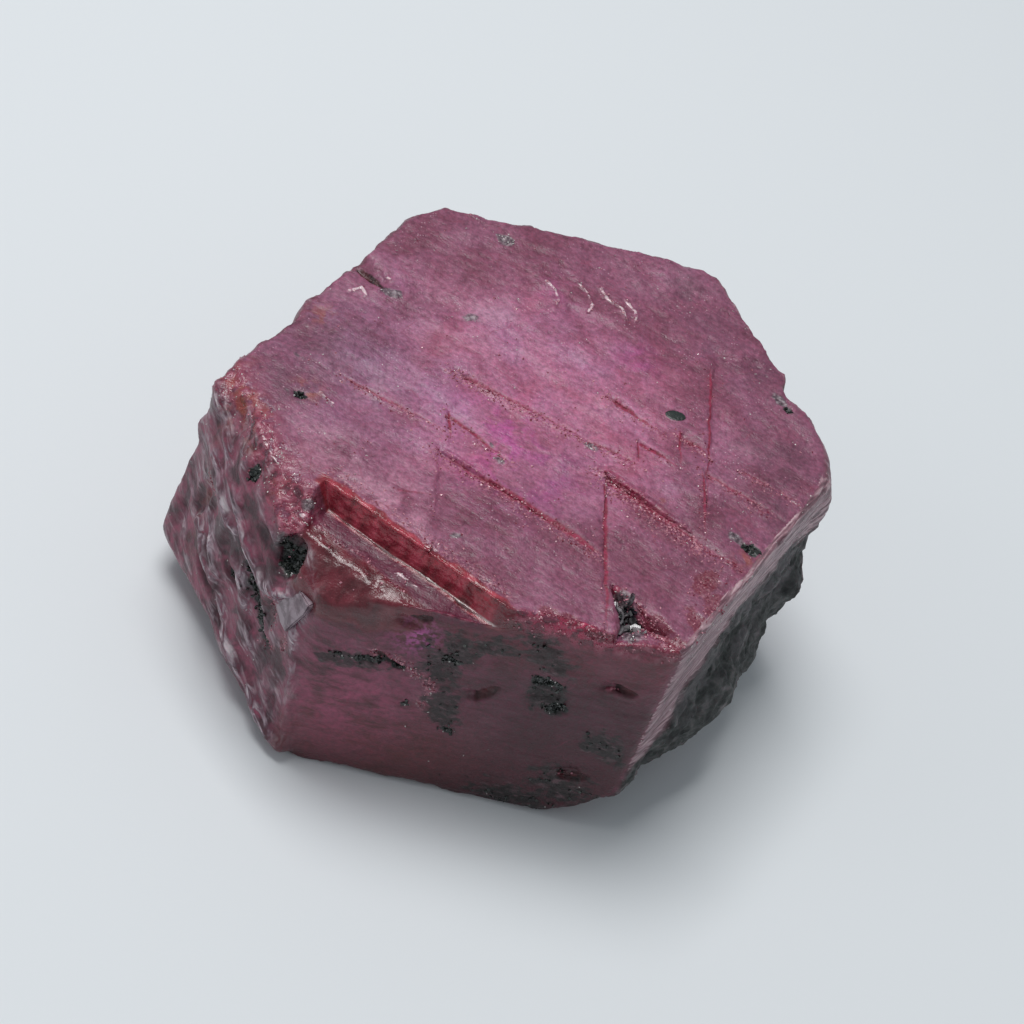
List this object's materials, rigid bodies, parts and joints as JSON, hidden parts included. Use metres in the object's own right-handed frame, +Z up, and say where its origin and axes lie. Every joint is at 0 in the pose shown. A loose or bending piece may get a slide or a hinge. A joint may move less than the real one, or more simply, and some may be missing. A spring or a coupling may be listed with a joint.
{
  "type": "raw ruby crystal",
  "caption": "Rough ruby: a short hexagonal corundum crystal with a flat, stepped end face, crusted sides and a broken corner, resting on its worn base.",
  "frame": {"origin": "centre of the outline on the ground, under the crystal's flat base", "axes": "+Z up along the crystal's axis, out of the flat end face; +X across corners, towards the blunt right corner; +Y towards the back face"},
  "size_m": [0.0344, 0.0286, 0.0153],
  "materials": {
    "ruby": "semi-matte natural crystal surface, dull purple-red with dark mineral specks"
  },
  "bodies": {
    "root": {"ruby_crystal": "ruby"}
  },
  "joints": []
}
